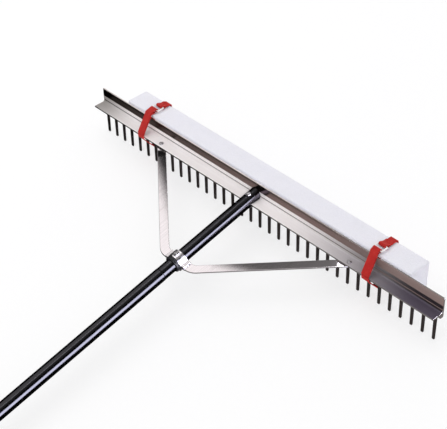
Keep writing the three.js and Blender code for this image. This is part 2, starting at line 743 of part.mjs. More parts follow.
head.add(piece("head_rail", headRail(), railMetal()));
for (let i = 0; i < TOOTH_COUNT; i += 1) {
  const mesh = piece(`tooth_${String(i + 1).padStart(2, "0")}`, tooth(), toothMetal());
  mesh.position.set(toothX(i), TOOTH_Y, 0);
  head.add(mesh);
}
for (const [label, side, ringFront] of [
  ["left", -1, RING_FRONT_LEFT],
  ["right", 1, RING_FRONT_RIGHT],
]) {
  head.add(piece(`brace_${label}`, brace(side), armMetal()));
  head.add(piece(`brace_rivet_${label}`, braceRivet(side), screwSteel()));
  handle.add(piece(`clamp_screw_${label}`, clampScrew(side), screwSteel()));
  const strap = new THREE.Group();
  strap.position.x = side * STRAP_X;
  strap.add(piece(`strap_${label}`, strapLoop(ringFront), webbing()));
  strap.add(piece(`strap_tail_${label}`, strapTail(ringFront), webbing()));
  strap.add(piece(`strap_ring_${label}`, strapRing(ringFront), whitePlastic()));
  head.add(strap);
}
head.add(piece("float_block", floatBlock(), foam()));

handle.add(piece("clamp_saddle", clampSaddle(), armMetal()));
handle.add(piece("clamp_base", clampBase(), armMetal()));
handle.add(piece("clamp_sleeve", clampSleeve(), blackRubber()));
handle.add(piece("clamp_bolt", clampBolt(), screwSteel()));
handle.add(piece("handle_lower", handleLower(), handlePaint()));
handle.add(piece("handle_upper", handleUpper(), handlePaint()));
handle.add(piece("handle_ferrule", handleFerrule(), armMetal()));
handle.add(piece("handle_cap", handleCap(), blackRubber()));
handle.add(piece("handle_bolt", handleBolt(), screwSteel()));
handle.add(piece("handle_nut", handleNut(), screwSteel()));

// Tilts the rake about X until the teeth and the cap rest on one level.
const tipThickness = TOOTH_THICKNESS * TOOTH_TIP_SCALE - TOOTH_BEVEL;
const tipFoot = new THREE.Vector3(0, TOOTH_Y + tipThickness / 2, TOOTH_TIP_Z);
const capRadius = UPPER_TUBE_RADIUS + GAP + CAP_WALL;
const capFoot = new THREE.Vector3(0, CAP_EDGE - HANDLE_LENGTH, -capRadius);
capFoot.applyMatrix4(handleToHead);
head.rotation.x = -Math.atan2(tipFoot.z - capFoot.z, tipFoot.y - capFoot.y);

const rake = new THREE.Group();
rake.add(head);
const bounds = new THREE.Box3().setFromObject(rake, true);
const middle = bounds.getCenter(new THREE.Vector3());
head.position.set(-middle.x, -middle.y, -bounds.min.z);
rake.updateMatrixWorld(true);

export default rake;
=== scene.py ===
"""Looks of a floating lake rake: an aluminium head with 36 teeth, a braced black tube handle, and a
foam float held behind the head by two red webbing straps. Metres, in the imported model's frame."""

import json
import math

import bmesh
import bpy
import numpy as np
from mathutils import Matrix, Vector
from mathutils.noise import noise as smooth_noise


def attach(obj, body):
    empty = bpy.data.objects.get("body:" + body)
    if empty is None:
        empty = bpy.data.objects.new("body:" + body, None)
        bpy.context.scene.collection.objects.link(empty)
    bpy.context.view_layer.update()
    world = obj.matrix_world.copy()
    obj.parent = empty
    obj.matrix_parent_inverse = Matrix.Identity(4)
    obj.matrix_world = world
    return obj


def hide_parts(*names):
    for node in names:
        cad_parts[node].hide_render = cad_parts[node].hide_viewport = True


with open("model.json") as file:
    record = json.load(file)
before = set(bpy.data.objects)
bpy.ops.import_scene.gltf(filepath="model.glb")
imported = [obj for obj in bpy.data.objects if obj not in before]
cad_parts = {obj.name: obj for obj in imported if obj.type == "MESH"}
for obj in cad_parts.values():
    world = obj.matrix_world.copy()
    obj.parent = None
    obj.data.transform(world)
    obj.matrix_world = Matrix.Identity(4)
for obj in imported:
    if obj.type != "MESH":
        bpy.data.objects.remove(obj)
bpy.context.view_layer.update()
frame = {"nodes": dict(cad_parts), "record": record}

MM = 0.001
SIDES = (("left", -1), ("right", 1))

# ---- frames
# The head's own frame has X along the head, -Y towards the user, and its origin in the inside corner
# of the upright flange (y = 0) and the flat flange (z = 0). The handle runs along -Y of a frame of
# its own. Both are worked out from the record and from the rail's node.

FLANGE = 3.2 * MM
UPRIGHT = 31.75 * MM
HANDLE_SLOPE = math.radians(12.5)
HANDLE_HEIGHT = 5.6 * MM

record = frame["record"]
handle_end = next(m for m in record["mounts"] if m["name"] == "handle_end")
end_axis = Vector(handle_end["axis"])
HEAD_TILT = math.atan2(-end_axis.z, -end_axis.y) - HANDLE_SLOPE
TURN = Matrix.Rotation(HEAD_TILT, 4, "X")


def box_in(matrix, node):
    """Lowest and highest corner of a CAD node in another frame."""
    back = matrix.inverted()
    corners = np.array([back @ v.co for v in frame["nodes"][node].data.vertices])
    return Vector(corners.min(0)), Vector(corners.max(0))


rail_low, rail_high = box_in(TURN, "head_rail")
HEAD = TURN @ Matrix.Translation((0, rail_high.y - FLANGE, rail_high.z - UPRIGHT))
HANDLE = HEAD @ Matrix.Translation((0, 0, HANDLE_HEIGHT)) @ Matrix.Rotation(HANDLE_SLOPE, 4, "X")

# ---- camera

CAMERA_AZIMUTH = math.radians(47.63)
CAMERA_ELEVATION = math.radians(38.85)
CAMERA_ROLL = math.radians(-1.486)
CAMERA_DISTANCE = 2.480
CAMERA_TARGET = Vector((-0.002, -0.083, 0))
CAMERA_LENS = 106.3


def add_camera():
    """The camera, placed in the head's frame and looking at a point just in front of the rail."""
    level = math.cos(CAMERA_ELEVATION)
    x, y = math.sin(CAMERA_AZIMUTH) * level, -math.cos(CAMERA_AZIMUTH) * level
    back = Vector((x, y, math.sin(CAMERA_ELEVATION)))
    right = (-back).cross(Vector((0, 0, 1))).normalized()
    aim = Matrix((right, right.cross(-back), back)).transposed().to_4x4()
    roll = Matrix.Rotation(CAMERA_ROLL, 4, "Z")
    place = Matrix.Translation(CAMERA_TARGET + back * CAMERA_DISTANCE)
    camera = add_object("camera", bpy.data.cameras.new("camera"))
    camera.data.lens = CAMERA_LENS
    camera.data.clip_end = 50
    camera.matrix_world = HEAD @ place @ aim @ roll
    bpy.context.scene.camera = camera


# ---- materials

# Sockets of a Mix node that mixes colours.
MIX_FACTOR, MIX_UNDER, MIX_OVER = 0, 6, 7
MIX_RESULT = 2


class Graph:
    """A tree of shader nodes, built up one node at a time."""

    def __init__(self, owner):
        owner.use_nodes = True
        self.tree = owner.node_tree

    def node(self, kind, **settings):
        """A new node, with values for its sockets and settings."""
        made = self.tree.nodes.new(kind)
        for key, value in settings.items():
            if key in made.inputs:
                made.inputs[key].default_value = value
            else:
                setattr(made, key, value)
        return made

    def link(self, source, target):
        self.tree.links.new(source, target)

    def remap(self, value, low, high, to_low, to_high):
        """Turns low..high of a value into to_low..to_high, eased at both ends."""
        limits = {"From Min": low, "From Max": high, "To Min": to_low, "To Max": to_high}
        made = self.node("ShaderNodeMapRange", interpolation_type="SMOOTHSTEP", **limits)
        self.link(value, made.inputs["Value"])
        return made.outputs["Result"]

    def combine(self, operation, value, *others):
        """Works one value out, or joins further values or numbers to it, one after another."""
        for other in others or (0.0,):
            made = self.node("ShaderNodeMath", operation=operation)
            self.link(value, made.inputs[0])
            if isinstance(other, float):
                made.inputs[1].default_value = other
            else:
                self.link(other, made.inputs[1])
            value = made.outputs[0]
        return value


class Look(Graph):
    """A material whose detail comes from a few procedural layers on one Principled shader."""

    def __init__(self, name, colour, roughness, metallic=0.0):
        self.material = bpy.data.materials.new(name)
        super().__init__(self.material)
        self.shader = self.tree.nodes["Principled BSDF"]
        self.set("Base Color", (*colour, 1))
        self.set("Roughness", roughness)
        self.set("Metallic", metallic)
        self.material.diffuse_color = (*colour, 1)
        self.bumps = None

    def set(self, socket, value):
        """Sets one of the shader's own values, the same over the whole surface."""
        self.shader.inputs[socket].default_value = value

    def place(self, stretch=(1, 1, 1)):
        """Object coordinates, in metres, multiplied by a stretch along each axis."""
        coordinates = self.node("ShaderNodeTexCoord")
        mapping = self.node("ShaderNodeMapping", Scale=stretch)
        self.link(coordinates.outputs["Object"], mapping.inputs["Vector"])
        return mapping.outputs["Vector"]

    def noise(self, scale, stretch=(1, 1, 1), detail=3.0):
        made = self.node("ShaderNodeTexNoise", Scale=scale, Detail=detail)
        self.link(self.place(stretch), made.inputs["Vector"])
        return made.outputs["Fac"]

    def cells(self, scale):
        made = self.node("ShaderNodeTexVoronoi", Scale=scale)
        self.link(self.place(), made.inputs["Vector"])
        return made.outputs["Distance"]

    def coordinate(self, axis):
        """Distance along one axis of the object's coordinates, in metres."""
        split = self.node("ShaderNodeSeparateXYZ")
        self.link(self.place(), split.inputs[0])
        return split.outputs[axis]

    def attribute(self, name):
        return self.node("ShaderNodeAttribute", attribute_name=name).outputs["Fac"]

    def wave(self, value, pitch):
        """A sine of a length in metres, from -1 to 1, that repeats at the given pitch."""
        return self.combine("SINE", self.combine("MULTIPLY", value, 2 * math.pi / pitch))

    def tint(self, texture, none, most, strength, colour):
        """Mixes a colour over the ones so far, from nothing at one texture value to most at another."""
        base = self.shader.inputs["Base Color"]
        mix = self.node("ShaderNodeMix", data_type="RGBA")
        mix.inputs[MIX_UNDER].default_value = base.default_value
        if base.is_linked:
            self.link(base.links[0].from_socket, mix.inputs[MIX_UNDER])
        mix.inputs[MIX_OVER].default_value = (*colour, 1)
        self.link(self.remap(texture, none, most, 0.0, strength), mix.inputs[MIX_FACTOR])
        self.link(mix.outputs[MIX_RESULT], base)

    def vary(self, socket, texture, low, high, to_low, to_high):
        """Lets a texture move one of the shader's values between two limits."""
        self.link(self.remap(texture, low, high, to_low, to_high), self.shader.inputs[socket])

    def bump(self, height, depth):
        """Adds a relief of the given depth in metres under the ones there are."""
        made = self.node("ShaderNodeBump", Distance=depth, Strength=1.0)
        self.link(height, made.inputs["Height"])
        if self.bumps:
            self.link(self.bumps, made.inputs["Normal"])
        self.bumps = made.outputs["Normal"]
        self.link(self.bumps, self.shader.inputs["Normal"])


def draw_lines(look, along):
    """The fine lines that drawing through a die leaves along one axis."""
    return look.noise(420, tuple(0.012 if axis == along else 1.6 for axis in "XYZ"), 4.0)


def shaded(colour, *shares):
    """A colour with each channel taken down to its share, or all of them to one share."""
    shares = shares if len(shares) == 3 else shares * 3
    return tuple(channel * share for channel, share in zip(colour, shares))


def drawn_aluminium(name, colour, roughness, along, stain, relief=0.03 * MM):
    """Bare extruded aluminium with fine lines along one axis, light stains and small specks."""
    look = Look(name, colour, roughness, 1.0)
    lines = draw_lines(look, along)
    broad = look.noise(26, tuple(0.3 if axis == along else 1.0 for axis in "XYZ"), 4.0)
    specks = look.noise(900)
    look.tint(lines, 0.35, 0.75, 0.35, shaded(colour, 0.72))
    look.tint(broad, 0.5, 0.78, stain, shaded(colour, 0.62, 0.56, 0.5))
    look.tint(specks, 0.66, 0.8, 0.4, shaded(colour, 0.5))
    look.vary("Roughness", broad, 0.3, 0.75, roughness * 0.8, roughness * 1.35)
    look.bump(lines, relief)
    look.bump(specks, 0.01 * MM)
    return look


def worn(look, strength, line_colour, blotch_colour, roughness, relief):
    """Gives a look of the rail lines along the head and broad blotches."""
    lines = draw_lines(look, "X")
    look.tint(lines, 0.35, 0.75, strength, line_colour)
    look.tint(look.noise(60, (0.3, 1.0, 1.0)), 0.5, 0.8, 0.3, blotch_colour)
    look.vary("Roughness", lines, 0.3, 0.7, *roughness)
    look.bump(lines, relief)
    return look


def rubbed_aluminium_painted_dark_ends(name, painted_dark_end):
    """The rail's inner faces: rubbed dull and pale, with painted dark reflection darkening them towards
    the right end and at the left end.
    """
    look = Look(name, (0.95, 0.91, 0.90), 0.43, 0.15)
    worn(look, 0.35, (0.84, 0.80, 0.79), (0.80, 0.73, 0.71), (0.36, 0.5), 0.02 * MM)
    # Painted dark reflection, laid on by place along X: towards the right end, then at the left end.
    look.tint(look.coordinate("X"), 0.06, 0.42, 1.0, painted_dark_end)
    look.tint(look.coordinate("X"), -0.34, -0.49, 1.0, (0.24, 0.22, 0.20))
    return look


def painted_dark_front_aluminium():
    """The upright's front above its rubbed strip: a dark brown copy of the rail's aluminium whose colour
    is painted dark reflection, going black towards the left; a mirror on the left, dull on the right.
    """
    look = Look("rail_front_painted_dark", (0.31, 0.225, 0.205), 0.16, 1.0)
    worn(look, 0.4, (0.20, 0.14, 0.125), (0.34, 0.26, 0.24), (0.13, 0.24), 0.01 * MM)
    # Painted dark reflection: the colour goes nearly black towards the left end.
    look.tint(look.coordinate("X"), 0.35, -0.47, 1.0, (0.02, 0.012, 0.008))
    look.vary("Metallic", look.coordinate("X"), 0.12, 0.38, 1.0, 0.1)
    return look


def black_enamel():
    """Glossy black paint on the handle's tube: dark even at its edges, with faint scuffs and dust."""
    look = Look("handle_black", (0.05, 0.05, 0.055), 0.15, 1.0)
    look.set("Specular Tint", (0.02, 0.02, 0.02, 1))
    peel = look.noise(260, (1, 0.4, 1), 2.0)
    scuffs = look.noise(300, (1, 0.02, 1), 5.0)
    dust = look.noise(1400)
    look.tint(scuffs, 0.62, 0.8, 0.5, (0.10, 0.097, 0.105))
    look.tint(dust, 0.7, 0.82, 0.6, (0.14, 0.13, 0.13))
    look.vary("Roughness", scuffs, 0.4, 0.8, 0.13, 0.26)
    look.bump(peel, 0.012 * MM)
    return look


def grained(look, grain, roughness, relief, stain, limits, stain_colour):
    """Gives a look a fine grain and broad stains of another colour."""
    look.tint(stain, *limits, stain_colour)
    look.vary("Roughness", grain, 0.3, 0.7, *roughness)
    look.bump(grain, relief)
    return look


def moulded_rubber():
    look = Look("rubber_black", (0.014, 0.014, 0.016), 0.5)
    grain = look.noise(1100, detail=4.0)
    bloom = look.noise(60, detail=4.0)
    return grained(look, grain, (0.42, 0.62), 0.05 * MM, bloom, (0.5, 0.8, 0.5), (0.04, 0.04, 0.042))


def plated_steel():
    look = Look("plated_steel", (0.62, 0.61, 0.62), 0.26, 1.0)
    grain = look.noise(700, detail=4.0)
    stain = look.noise(160)
    return grained(look, grain, (0.2, 0.38), 0.012 * MM, stain, (0.5, 0.75, 0.55), (0.36, 0.34, 0.35))


def white_foam():
    """Closed-cell foam: fine beads, soft mottling and a little grime."""
    look = Look("float_foam", (0.78, 0.775, 0.825), 0.82)
    look.set("Subsurface Weight", 0.12)
    look.set("Subsurface Radius", (4 * MM, 4 * MM, 5 * MM))
    look.set("Specular IOR Level", 0.3)
    beads = look.cells(420)
    mottle = look.noise(32, detail=5.0)
    pits = look.noise(520, detail=2.0)
    look.tint(mottle, 0.45, 0.8, 0.4, (0.72, 0.715, 0.765))
    look.tint(beads, 0.35, 0.75, 0.3, (0.70, 0.695, 0.74))
    look.tint(pits, 0.68, 0.8, 0.45, (0.58, 0.58, 0.62))
    look.vary("Roughness", mottle, 0.3, 0.7, 0.76, 0.9)
    look.bump(beads, 0.22 * MM)
    look.bump(pits, 0.12 * MM)
    return look


WEFT_PITCH = 1.5 * MM
WARP_PITCH = 1.05 * MM


def red_webbing():
    """Woven polyester: ribs of weft along the strap, crossed by warp yarns, with fuzz and sheen."""
    look = Look("webbing_red", (0.52, 0.018, 0.014), 0.78)
    look.set("Sheen Weight", 0.25)
    look.set("Sheen Roughness", 0.4)
    look.set("Sheen Tint", (1.0, 0.35, 0.3, 1))
    look.set("Specular IOR Level", 0.25)
    along = look.wave(look.attribute("along"), WEFT_PITCH)
    across = look.wave(look.attribute("across"), WARP_PITCH)
    weave = look.combine("MULTIPLY", along, across)
    fuzz = look.noise(1500, detail=4.0)
    fade = look.noise(70)
    # The weave's darker red falls in the hollows of its relief: painted shade between the yarns.
    look.tint(weave, 0.4, -0.9, 0.55, (0.24, 0.005, 0.006))
    look.tint(fade, 0.45, 0.8, 0.35, (0.66, 0.045, 0.03))
    look.tint(fuzz, 0.6, 0.85, 0.3, (0.72, 0.10, 0.08))
    look.vary("Roughness", fuzz, 0.3, 0.7, 0.7, 0.88)
    look.bump(weave, 0.16 * MM)
    look.bump(fuzz, 0.06 * MM)
    return look


def red_thread():
    look = Look("thread_red", (0.36, 0.01, 0.012), 0.6)
    twist = look.noise(2600, detail=2.0)
    look.tint(twist, 0.4, 0.7, 0.5, (0.6, 0.05, 0.04))
    look.bump(twist, 0.03 * MM)
    return look


def moulded_white():
    look = Look("plastic_white", (0.86, 0.86, 0.85), 0.32)
    grain = look.noise(800)
    age = look.noise(140)
    return grained(look, grain, (0.26, 0.42), 0.02 * MM, age, (0.45, 0.8, 0.5), (0.80, 0.78, 0.72))


LOOKS = {
    "rail": drawn_aluminium("rail_aluminium", (0.86, 0.82, 0.80), 0.17, "X", 0.35),
    # The colour given to each rubbed look is its painted dark reflection at the right end.
    "rail_inner": rubbed_aluminium_painted_dark_ends("rail_rubbed", (0.085, 0.07, 0.10)),
    "rail_strip": rubbed_aluminium_painted_dark_ends("rail_rubbed_strip", (0.03, 0.022, 0.025)),
    # Painted dark reflection: the upright's front is a darkened brown copy of the rail's aluminium.
    "rail_dark_front": painted_dark_front_aluminium(),
    # The teeth's dark base colour is painted dark reflection.
    "tooth": drawn_aluminium("tooth_aluminium_painted_dark", (0.17, 0.145, 0.14), 0.3, "Z", 0.6),
    "brace": drawn_aluminium("brace_aluminium", (0.92, 0.89, 0.91), 0.045, "Y", 0.2, 0.002 * MM),
    "clamp": drawn_aluminium("clamp_aluminium", (0.90, 0.88, 0.90), 0.24, "X", 0.2),
    "steel": plated_steel(),
    "enamel": black_enamel(),
    "rubber": moulded_rubber(),
    "foam": white_foam(),
    "webbing": red_webbing(),
    "thread": red_thread(),
    "plastic": moulded_white(),
}

# ---- mesh helpers


def add_object(name, mesh):
    obj = bpy.data.objects.new(name, mesh)
    bpy.context.scene.collection.objects.link(obj)
    return obj


def mesh_from(name, points, faces):
    """An object from points and faces, with the faces turned outwards."""
    mesh = bpy.data.meshes.new(name)
    mesh.from_pydata([tuple(p) for p in points], [], faces)
    return weld(add_object(name, mesh), 0)


def weld(obj, distance=0.002 * MM):
    """Joins points that lie within a distance, if there is one, and turns the faces outwards."""
    shape = bmesh.new()
    shape.from_mesh(obj.data)
    if distance:
        bmesh.ops.remove_doubles(shape, verts=shape.verts, dist=distance)
        bmesh.ops.dissolve_degenerate(shape, edges=shape.edges, dist=distance)
    bmesh.ops.recalc_face_normals(shape, faces=shape.faces)
    shape.to_mesh(obj.data)
    shape.free()
    return obj


def skin(count, size, start=0, closed=False):
    """Faces over a count of rings of points, closed on itself or with a face at each end."""
    faces = []
    for i in range(count if closed else count - 1):
        here = start + i * size
        there = start + (i + 1) % count * size
        for k in range(size):
            n = (k + 1) % size
            faces.append((here + k, here + n, there + n, there + k))
    if not closed:
        last = start + (count - 1) * size
        faces += [tuple(range(first, first + size)) for first in (start, last)]
    return faces


def loft(name, rings, closed=False):
    """An object whose skin runs over rings of points."""
    points = [p for ring in rings for p in ring]
    return mesh_from(name, points, skin(len(rings), len(rings[0]), closed=closed))


def lathe(name, profile, steps=48):
    """Turns a closed profile of (radius, distance) about the handle's axis, which runs along -Y."""
    rings = []
    for s in range(steps):
        angle = 2 * math.pi * s / steps
        rings.append([(r * math.cos(angle), -d, r * math.sin(angle)) for r, d in profile])
    return weld(loft(name, rings, closed=True))


def upright_lathe(name, profile, steps=40):
    """Turns a profile of (radius, height) about Z."""
    obj = lathe(name, profile, steps)
    obj.data.transform(Matrix.Rotation(-math.pi / 2, 4, "X"))
    return obj


def arc(centre, radius, start, stop, steps):
    """Points on an arc about a centre, angles in degrees."""
    angles = [math.radians(start + (stop - start) * i / steps) for i in range(steps + 1)]
    return [(centre[0] + radius * math.cos(a), centre[1] + radius * math.sin(a)) for a in angles]


NEARLY_STRAIGHT = 1.55
SHORTEST_REACH = 0.0001 * MM


def rounded(corners, radius, steps=6, closed=False):
    """A polyline whose corners are rounded, each by its own radius if a list is given."""
    corners = [Vector(c) for c in corners]
    count = len(corners)
    path = []
    for i, corner in enumerate(corners):
        if not closed and i in (0, count - 1):
            path.append(corner)
            continue
        back = corners[i - 1] - corner
        ahead = corners[(i + 1) % count] - corner
        limit = 0.49 * min(back.length, ahead.length)
        back.normalize()
        ahead.normalize()
        half = math.acos(max(-1.0, min(1.0, back.dot(ahead)))) / 2
        wanted = radius[i] if isinstance(radius, (list, tuple)) else radius
        reach = min(wanted / math.tan(half), limit) if half < NEARLY_STRAIGHT else 0
        if reach < SHORTEST_REACH:
            path.append(corner)
            continue
        r = reach * math.tan(half)
        middle = corner + (back + ahead).normalized() * (r / math.sin(half))
        first = corner + back * reach - middle
        last = corner + ahead * reach - middle
        sweep = math.atan2(first.x * last.y - first.y * last.x, first.dot(last))
        for s in range(steps + 1):
            turn = Matrix.Rotation(sweep * s / steps, 2)
            path.append(middle + turn @ first)
    return path


def resampled(path, step):
    """The same path with points at an even spacing."""
    lengths = [0.0]
    for a, b in zip(path, path[1:]):
        lengths.append(lengths[-1] + (b - a).length)
    count = max(2, round(lengths[-1] / step))
    at = np.linspace(0, lengths[-1], count + 1)
    columns = [np.interp(at, lengths, [p[k] for p in path]) for k in range(len(path[0]))]
    return [Vector(row) for row in zip(*columns)]


def bevelled(obj, width, segments, angle):
    """Breaks the edges of a machined piece that are sharper than an angle in degrees."""
    bevel = obj.modifiers.new("edge_break", "BEVEL")
    bevel.width = width
    bevel.segments = segments
    bevel.limit_method = "ANGLE"
    bevel.angle_limit = math.radians(angle)
    return obj


def baked(obj):
    """Applies an object's modifiers to its mesh."""
    graph = bpy.context.evaluated_depsgraph_get()
    mesh = bpy.data.meshes.new_from_object(obj.evaluated_get(graph), depsgraph=graph)
    obj.modifiers.clear()
    obj.data = mesh
    return obj


def subtract(obj, *cutters):
    """Cuts other objects out of one, and removes them."""
    for cutter in cutters:
        cut = obj.modifiers.new("cut", "BOOLEAN")
        cut.operation = "DIFFERENCE"
        cut.solver = "EXACT"
        cut.object = cutter
    baked(obj)
    for cutter in cutters:
        bpy.data.objects.remove(cutter)
    return obj


def block(name, low, high):
    xs, ys, zs = zip(low, high)
    ring = [(xs[0], ys[0]), (xs[1], ys[0]), (xs[1], ys[1]), (xs[0], ys[1])]
    return loft(name, [[(x, y, z) for x, y in ring] for z in zs])


def hand_over(obj, look, node, matrix=None, crease=34, body="rake"):
    """Gives a finished piece its place, look and body, and hides the CAD node it stands for, if any."""
    if matrix is not None:
        obj.data.transform(matrix)
    obj.data.materials.clear()
    obj.data.materials.append(LOOKS[look].material)
    obj.data.shade_smooth()
    obj.data.set_sharp_from_angle(angle=math.radians(crease))
    even = obj.modifiers.new("even_normals", "WEIGHTED_NORMAL")
    even.keep_sharp = True
    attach(obj, body)
    if node:
        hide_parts(node)


# ---- head

COVE = 4.6 * MM
GROOVE_WIDTH = 1.8 * MM
GROOVE_DEPTH = 0.6 * MM
BAND_TOP = 14.5 * MM
RIB_FRONT = 6 * MM
RIB_DEPTH = 12 * MM
RIB_RADIUS = 2.5 * MM
RIB_ROOT = 0.8 * MM
CREST_EDGE = 0.7 * MM
LIP_EDGE = 0.6 * MM
GROOVE_EDGE = 0.2 * MM
FLAT = 25.4 * MM
HEAD_LENGTH = rail_high.x - rail_low.x


def rail_outline(clearance=0.0):
    """The extrusion's section as (y, z), grown outwards by a clearance."""
    front = -FLAT - clearance
    back = FLANGE + clearance
    under = -FLANGE - clearance
    rib = -RIB_FRONT - clearance
    foot = -RIB_DEPTH - clearance
    top = UPRIGHT + clearance
    crest = (-clearance, top), (back, top), (back, top - 4 * MM)
    outline = rounded(crest, CREST_EDGE)[::-1]
    if clearance == 0:
        groove = (0, COVE + GROOVE_WIDTH), (GROOVE_DEPTH, COVE + GROOVE_WIDTH / 2), (0, COVE)
        outline += [Vector((0, BAND_TOP))] + rounded(groove, GROOVE_EDGE, 3)[:-1]
    outline += arc((-COVE, COVE), COVE - clearance, 0, -90, 14)
    inside = front + 6 * MM
    lip = (inside, clearance), (front, clearance), (front, under), (inside, under)
    outline += rounded(lip, LIP_EDGE)[1:]
    root = (rib - 4 * MM, under), (rib, under), (rib, under - 3 * MM)
    outline += rounded(root, RIB_ROOT)[1:]
    outline += arc((rib + RIB_RADIUS, foot + RIB_RADIUS), RIB_RADIUS, 180, 270, 8)
    outline += arc((back - RIB_RADIUS, foot + RIB_RADIUS), RIB_RADIUS, 270, 360, 8)
    return outline


def along_head(name, outline, x0, x1):
    return loft(name, [[(x, y, z) for y, z in outline] for x in (x0, x1)])


RAIL_LOOKS = ("rail", "rail_inner", "rail_dark_front", "rail_strip")
FACING_FRONT = -0.7
FACING_GROOVE = -0.5
FACING_UP = 0.3


def rail_finish(face):
    """Which of the rail's looks a face takes, by where it lies and which way it faces."""
    y, z = face.center.y, face.center.z
    in_groove = 0.05 * MM < y < GROOVE_DEPTH
    # Forward faces above the strip and in the groove take the look of painted dark reflection; the strip
    # and the upward faces below the band's top take the pale looks, with painted dark reflection at
    # their ends.
    if face.normal.y < FACING_GROOVE and (in_groove or BAND_TOP < z < UPRIGHT):
        return "rail_dark_front"
    if -0.1 * MM < z < BAND_TOP and y < GROOVE_DEPTH:
        if face.normal.y < FACING_FRONT:
            return "rail_strip"
        if face.normal.z > FACING_UP:
            return "rail_inner"
    return "rail"


def build_rail():
    rail = along_head("rail_extrusion", rail_outline(), -HEAD_LENGTH / 2, HEAD_LENGTH / 2)
    weld(rail)
    finishes = [rail_finish(face) for face in rail.data.polygons]
    bevelled(rail, 0.3 * MM, 2, 50)
    hand_over(rail, "rail", "head_rail", HEAD)
    for look in RAIL_LOOKS[1:]:
        rail.data.materials.append(LOOKS[look].material)
    for face, finish in zip(rail.data.polygons, finishes):
        face.material_index = RAIL_LOOKS.index(finish)


TOOTH_COUNT = 36
TOOTH_WIDTH = 6.4 * MM
TOOTH_THICKNESS = 4.0 * MM
TOOTH_Y = -1.4 * MM
TOOTH_TIP_SCALE = 0.84
TOOTH_EDGE = 0.5 * MM
TIP_ROUND = 2.2 * MM
TIP_END = 0.22


def round_rect(half_x, half_y, radius, steps=4):
    corners = [(half_x, half_y), (-half_x, half_y), (-half_x, -half_y), (half_x, -half_y)]
    return rounded(corners, min(radius, 0.95 * half_x, 0.95 * half_y), steps, closed=True)


def tooth_rings(z_root, z_tip):
    """A tapered flat bar with soft edges and a rounded tip, as rings from root to tip."""
    levels = [(z, 1.0) for z in np.linspace(z_root, z_tip + TIP_ROUND, 5)]
    for turn in np.linspace(0, math.pi / 2, 7)[1:]:
        squeeze = TIP_END + (1 - TIP_END) * max(math.cos(turn), 0.0) ** 0.8
        levels.append((z_tip + TIP_ROUND * (1 - math.sin(turn)), squeeze))
    rings = []
    for z, squeeze in levels:
        taper = 1 - (1 - TOOTH_TIP_SCALE) * (z_root - z) / (z_root - z_tip)
        half_x = TOOTH_WIDTH / 2 * taper * (0.45 + 0.55 * squeeze)
        half_y = TOOTH_THICKNESS / 2 * taper * (0.3 + 0.7 * squeeze)
        rings.append([(x, y, z) for x, y in round_rect(half_x, half_y, TOOTH_EDGE)])
    return rings


def build_teeth():
    for number in range(1, TOOTH_COUNT + 1):
        node = f"tooth_{number:02d}"
        low, high = box_in(HEAD, node)
        tooth = loft(f"tooth_bar_{number:02d}", tooth_rings(high.z, low.z))
        place = HEAD @ Matrix.Translation(((low.x + high.x) / 2, TOOTH_Y, 0))
        hand_over(tooth, "tooth", node, place)


# ---- braces and clamp

ARM_WIDTH = 17.6 * MM
ARM_THICKNESS = 2.6 * MM
ARM_RAIL_END = Vector((256 * MM, -15.6 * MM))
ARM_CORNER_X = 37.7 * MM
ARM_BEND = 32 * MM
ARM_INNER_END = 17 * MM
ARM_FOLD_RAIL = -27 * MM
ARM_FOLD_CLAMP = -188 * MM
ARM_EDGE = 0.8 * MM
FOLD_EASE = 5 * MM
GAP = 0.3 * MM
CLAMP_AT = 206 * MM
CLAMP_Y = -CLAMP_AT * math.cos(HANDLE_SLOPE)


def past_fold(distance):
    """Zero before a fold and the distance past it after, eased over a few millimetres."""
    if distance <= -FOLD_EASE:
        return 0.0
    if distance >= FOLD_EASE:
        return distance
    return (distance + FOLD_EASE) ** 2 / (4 * FOLD_EASE)


def arm_top(y):
    """Height of a brace's upper face: flat at the rail, sloping, then along the handle."""
    flat = -FLANGE - GAP
    fold_height = HANDLE_HEIGHT + ARM_FOLD_CLAMP * math.tan(HANDLE_SLOPE) - GAP
    slope = (flat - fold_height) / (ARM_FOLD_RAIL - ARM_FOLD_CLAMP)
    turn = slope - math.tan(HANDLE_SLOPE)
    return flat - slope * past_fold(ARM_FOLD_RAIL - y) + turn * past_fold(ARM_FOLD_CLAMP - y)


def build_brace(label, side):
    rail_end = Vector((side * ARM_RAIL_END.x, ARM_RAIL_END.y))
    corner = Vector((side * ARM_CORNER_X, CLAMP_Y))
    inner = Vector((side * ARM_INNER_END, CLAMP_Y))
    straight = resampled(rounded([rail_end, corner, inner], ARM_BEND, 14), 2.5 * MM)
    along = (corner - rail_end).normalized()
    half = ARM_WIDTH / 2
    stations = []
    for degrees in range(84, 0, -7):
        angle = math.radians(degrees)
        stations.append((rail_end - along * half * math.sin(angle), along, half * math.cos(angle)))
    for i, point in enumerate(straight):
        before = straight[max(i - 1, 0)]
        after = straight[min(i + 1, len(straight) - 1)]
        stations.append((point, (after - before).normalized(), half))
    rings = []
    for point, direction, half_width in stations:
        across = Vector((-direction.y, direction.x))
        ring = []
        for u, h in round_rect(half_width, ARM_THICKNESS / 2, ARM_EDGE):
            x, y = point + across * u
            ring.append((x, y, arm_top(y) - ARM_THICKNESS / 2 + h))
        rings.append(ring)
    brace = loft(f"brace_bar_{label}", rings)
    hand_over(brace, "brace", f"brace_{label}", HEAD, 50)


